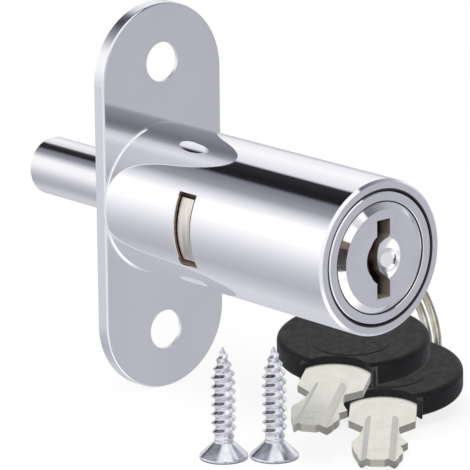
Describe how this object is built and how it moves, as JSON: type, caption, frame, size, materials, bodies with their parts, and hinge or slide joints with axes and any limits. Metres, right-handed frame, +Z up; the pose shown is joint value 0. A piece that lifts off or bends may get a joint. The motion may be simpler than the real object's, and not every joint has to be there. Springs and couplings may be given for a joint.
{
  "type": "push lock",
  "caption": "Chromed push lock for sliding doors: round barrel on an oval flange, pushed-in plunger with keyed core, round bolt and side latch, with keys on a ring and wood screws.",
  "frame": {"origin": "the lock's axis at the front face of the flange", "axes": "+Z up along the flange, -Y towards the key side, +Y along the bolt, the latch window looks towards -X"},
  "size_m": [0.0572, 0.078, 0.0574],
  "materials": {
    "barrel_chrome": "bright chrome plate",
    "flange_chrome": "chrome plate, slightly softer than the barrel",
    "plunger_chrome": "chrome plate",
    "bolt_chrome": "chrome plate, turned",
    "core_chrome": "satin chrome face",
    "latch_nickel": "nickel plate, warm and slightly worn",
    "nickel": "nickel plate",
    "steel": "plain steel",
    "spring_steel": "bright spring wire",
    "wafer_brass": "stamped brass",
    "screw_zinc": "zinc plate, bluish",
    "key_nickel": "nickel-plated brass",
    "key_plastic": "black moulded plastic, fine grain",
    "ring_steel": "nickel-plated spring steel"
  },
  "bodies": {
    "housing": {"barrel": "barrel_chrome", "flange_plate": "flange_chrome", "bolt_guide": "nickel", "return_spring": "spring_steel", "screw_1": "screw_zinc", "screw_2": "screw_zinc", "key_ring": "ring_steel"},
    "plunger": {"plunger": "plunger_chrome", "bolt": "bolt_chrome", "bolt_pin": "steel", "latch_spring": "spring_steel"},
    "core": {"core": "core_chrome", "core_clip": "steel", "wafer_springs": "spring_steel"},
    "latch": {"latch": "latch_nickel"},
    "key_1": {"key_1_blade": "key_nickel", "key_1_head": "key_plastic"},
    "key_2": {"key_2_blade": "key_nickel", "key_2_head": "key_plastic"},
    "wafer_1": {"wafer_1": "wafer_brass"},
    "wafer_2": {"wafer_2": "wafer_brass"},
    "wafer_3": {"wafer_3": "wafer_brass"},
    "wafer_4": {"wafer_4": "wafer_brass"},
    "wafer_5": {"wafer_5": "wafer_brass"},
    "wafer_6": {"wafer_6": "wafer_brass"}
  },
  "joints": [
    {"name": "plunger_push", "type": "slide", "parent": "housing", "child": "plunger", "axis": [0, -1, 0], "range_m": [0, 0.012], "deforming": ["return_spring"]},
    {"name": "core_turn", "type": "hinge", "parent": "plunger", "child": "core", "pos_m": [0, -0.03, 0], "axis": [0, 1, 0], "range_deg": [0, 90]},
    {"name": "latch_draw", "type": "slide", "parent": "plunger", "child": "latch", "axis": [1, 0, 0], "range_m": [0, 0.001], "deforming": ["latch_spring"]},
    {"name": "wafer_1_lift", "type": "slide", "parent": "core", "child": "wafer_1", "axis": [0, 0, -1], "range_m": [-0.0008, 0], "deforming": ["wafer_springs"]},
    {"name": "wafer_2_lift", "type": "slide", "parent": "core", "child": "wafer_2", "axis": [0, 0, -1], "range_m": [-0.0008, 0]},
    {"name": "wafer_3_lift", "type": "slide", "parent": "core", "child": "wafer_3", "axis": [0, 0, -1], "range_m": [-0.0008, 0]},
    {"name": "wafer_4_lift", "type": "slide", "parent": "core", "child": "wafer_4", "axis": [0, 0, -1], "range_m": [-0.0008, 0]},
    {"name": "wafer_5_lift", "type": "slide", "parent": "core", "child": "wafer_5", "axis": [0, 0, -1], "range_m": [-0.0008, 0]},
    {"name": "wafer_6_lift", "type": "slide", "parent": "core", "child": "wafer_6", "axis": [0, 0, -1], "range_m": [-0.0008, 0]},
    {"name": "key_1_swing", "type": "hinge", "parent": "housing", "child": "key_1", "pos_m": [0.01812, -0.02273, -0.01847], "axis": [-0.0996, -0.0996, 0.99], "range_deg": [0, 8]},
    {"name": "key_2_swing", "type": "hinge", "parent": "housing", "child": "key_2", "pos_m": [0.02101, -0.02519, -0.02323], "axis": [-0.0996, -0.0996, 0.99], "range_deg": [-8, 8]}
  ],
  "couplings": [
    {"joint": "latch_draw", "follows": "core_turn", "m_per_rad": 0.00063662},
    {"joint": "wafer_2_lift", "follows": "wafer_1_lift", "ratio": 1},
    {"joint": "wafer_3_lift", "follows": "wafer_1_lift", "ratio": 1},
    {"joint": "wafer_4_lift", "follows": "wafer_1_lift", "ratio": 1},
    {"joint": "wafer_5_lift", "follows": "wafer_1_lift", "ratio": 1},
    {"joint": "wafer_6_lift", "follows": "wafer_1_lift", "ratio": 1}
  ]
}
